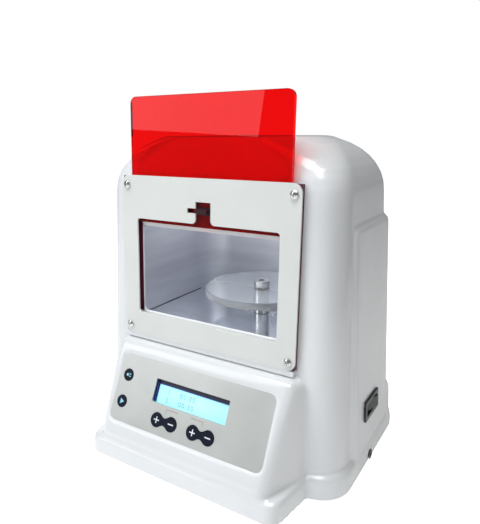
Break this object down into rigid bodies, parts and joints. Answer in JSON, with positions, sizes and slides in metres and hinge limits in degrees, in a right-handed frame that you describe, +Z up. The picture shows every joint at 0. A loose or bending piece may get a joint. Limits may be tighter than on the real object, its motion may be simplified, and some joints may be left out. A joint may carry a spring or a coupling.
{
  "type": "dental lab light curing unit",
  "caption": "Bench light curing unit: moulded housing, sloping key panel, sliding red filter door and a clear turntable in a polished chamber.",
  "frame": {"origin": "middle of the footprint at table height", "axes": "+X to the right seen from the front, +Y towards the rear, +Z up; the control panel faces -Y"},
  "size_m": [0.2226, 0.174, 0.2713],
  "materials": {
    "shell_white": "gloss",
    "plate_white": "satin",
    "steel": "polished",
    "zinc_steel": "satin",
    "rubber_black": "matte",
    "red_strip": "gloss",
    "red_filter": "gloss",
    "latch_grey": "satin",
    "polished_sheet": "polished",
    "clear_acrylic": "gloss",
    "lamp_clear": "gloss",
    "ceramic": "matte",
    "panel_silver": "satin",
    "navy": "gloss",
    "lcd_dark": "matte",
    "lcd_cyan": "gloss",
    "board_green": "satin",
    "brass": "satin",
    "switch_black": "satin",
    "core_iron": "matte"
  },
  "bodies": {
    "cabinet": {"housing": "shell_white", "base_plate": "zinc_steel", "base_screws": "steel", "feet": "rubber_black", "front_plate": "plate_white", "plate_screws": "steel", "guide_left": "red_strip", "guide_right": "red_strip", "door_stop": "red_strip", "chamber": "polished_sheet", "chamber_floor": "polished_sheet", "chamber_posts": "zinc_steel", "motor": "zinc_steel", "motor_screws": "steel", "reflectors": "polished_sheet", "lamps": "lamp_clear", "lamp_sockets": "ceramic", "lamp_glass": "clear_acrylic", "overlay": "panel_silver", "display_frame": "lcd_dark", "display_glass": "lcd_cyan", "control_board": "board_green", "board_spacers": "brass", "switch_frame": "switch_black", "power_jack": "switch_black", "power_supply": "zinc_steel", "supply_screws": "steel", "transformer": "core_iron"},
    "door": {"door": "red_filter"},
    "latch": {"latch": "latch_grey"},
    "table": {"turntable": "clear_acrylic", "spindle": "steel", "hub_screw": "steel"},
    "rocker": {"rocker": "switch_black"},
    "key_lamp_body": {"key_lamp": "navy"},
    "key_start_body": {"key_start": "navy"},
    "key_left_plus_body": {"key_left_plus": "navy"},
    "key_left_minus_body": {"key_left_minus": "navy"},
    "key_right_plus_body": {"key_right_plus": "navy"},
    "key_right_minus_body": {"key_right_minus": "navy"}
  },
  "joints": [
    {"name": "door_slide", "type": "slide", "parent": "cabinet", "child": "door", "axis": [0, -0.0506, -0.9987], "range_m": [0, 0.0758]},
    {"name": "latch_slide", "type": "slide", "parent": "door", "child": "latch", "axis": [-1, 0, 0], "range_m": [0, 0.007]},
    {"name": "table_spin", "type": "hinge", "parent": "cabinet", "child": "table", "pos_m": [0.017, 0.013, 0.11], "axis": [0, 0, 1], "continuous": true},
    {"name": "rocker_tilt", "type": "hinge", "parent": "cabinet", "child": "rocker", "pos_m": [0.10611, 0.0185, 0.04591], "axis": [-0.0418, 0, 0.9991], "range_deg": [0, 24]},
    {"name": "key_lamp_press", "type": "slide", "parent": "cabinet", "child": "key_lamp_body", "axis": [0, 0.8949, -0.4462], "range_m": [0, 0.0005], "stiffness_N_per_m": 400, "springref_m": -0.0005},
    {"name": "key_start_press", "type": "slide", "parent": "cabinet", "child": "key_start_body", "axis": [0, 0.8949, -0.4462], "range_m": [0, 0.0005], "stiffness_N_per_m": 400, "springref_m": -0.0005},
    {"name": "key_left_plus_press", "type": "slide", "parent": "cabinet", "child": "key_left_plus_body", "axis": [0, 0.8949, -0.4462], "range_m": [0, 0.0005], "stiffness_N_per_m": 400, "springref_m": -0.0005},
    {"name": "key_left_minus_press", "type": "slide", "parent": "cabinet", "child": "key_left_minus_body", "axis": [0, 0.8949, -0.4462], "range_m": [0, 0.0005], "stiffness_N_per_m": 400, "springref_m": -0.0005},
    {"name": "key_right_plus_press", "type": "slide", "parent": "cabinet", "child": "key_right_plus_body", "axis": [0, 0.8949, -0.4462], "range_m": [0, 0.0005], "stiffness_N_per_m": 400, "springref_m": -0.0005},
    {"name": "key_right_minus_press", "type": "slide", "parent": "cabinet", "child": "key_right_minus_body", "axis": [0, 0.8949, -0.4462], "range_m": [0, 0.0005], "stiffness_N_per_m": 400, "springref_m": -0.0005}
  ]
}
